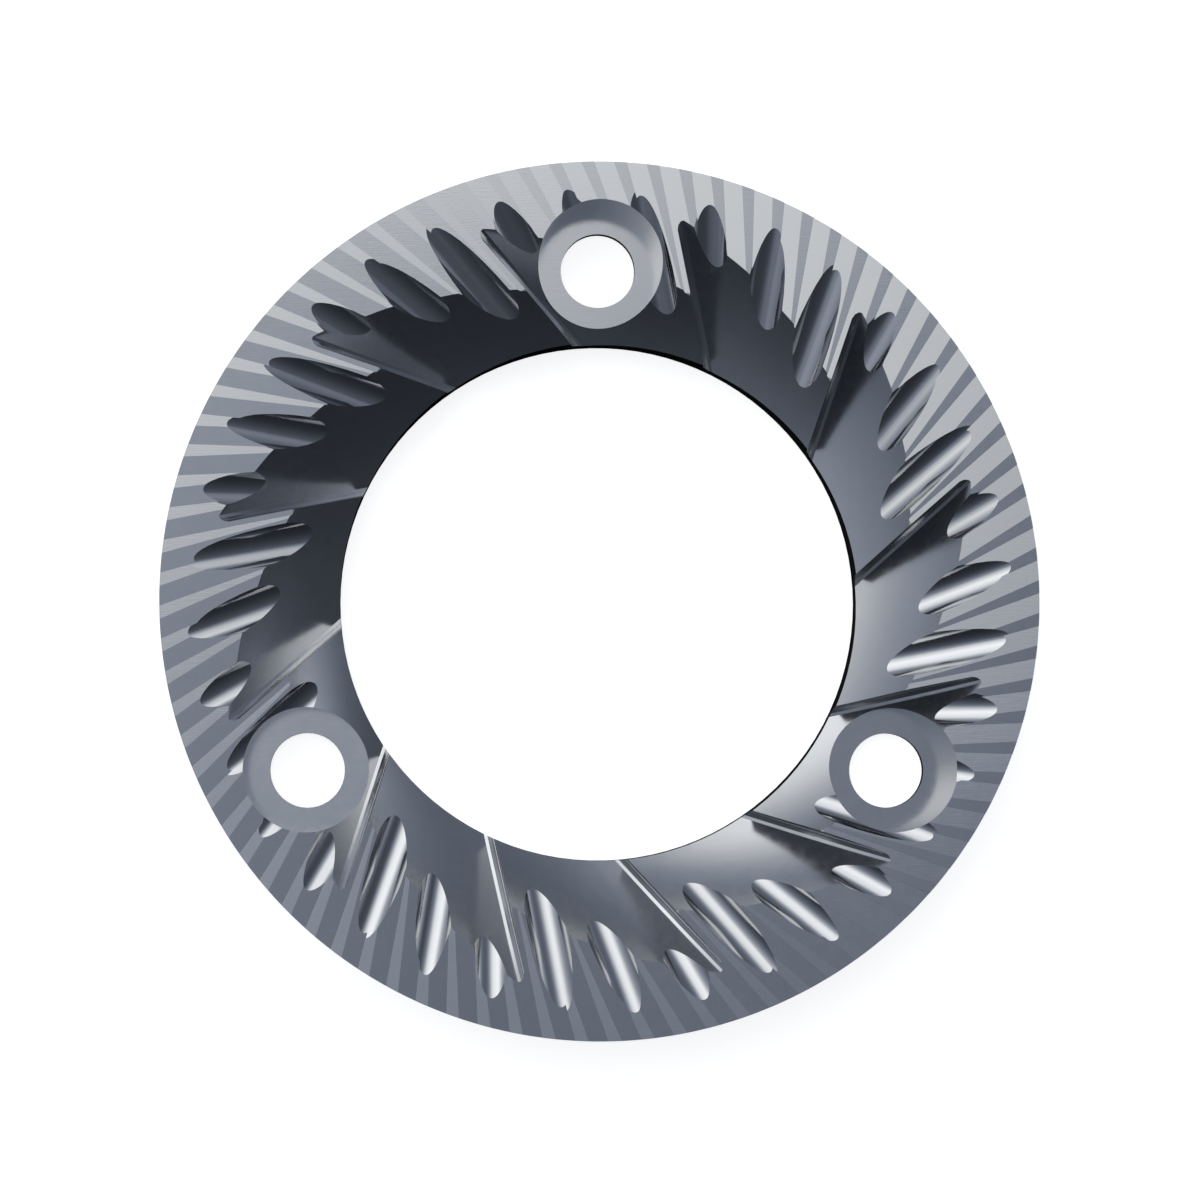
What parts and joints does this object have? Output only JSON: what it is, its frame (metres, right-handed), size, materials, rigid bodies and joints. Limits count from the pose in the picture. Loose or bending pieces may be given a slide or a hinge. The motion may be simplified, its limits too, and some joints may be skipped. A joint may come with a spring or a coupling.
{
  "type": "coffee grinder burr",
  "caption": "Flat steel grinding burr: a ring with dished feed pockets, round scallops and fine teeth on one face, and countersunk screw holes.",
  "frame": {"origin": "centre of the flat back face", "axes": "+Z along the bore axis, out of the toothed face; one screw hole lies on +Y"},
  "size_m": [0.064, 0.064, 0.007],
  "materials": {
    "steel": "ground"
  },
  "bodies": {
    "root": {"burr": "steel"}
  },
  "joints": []
}
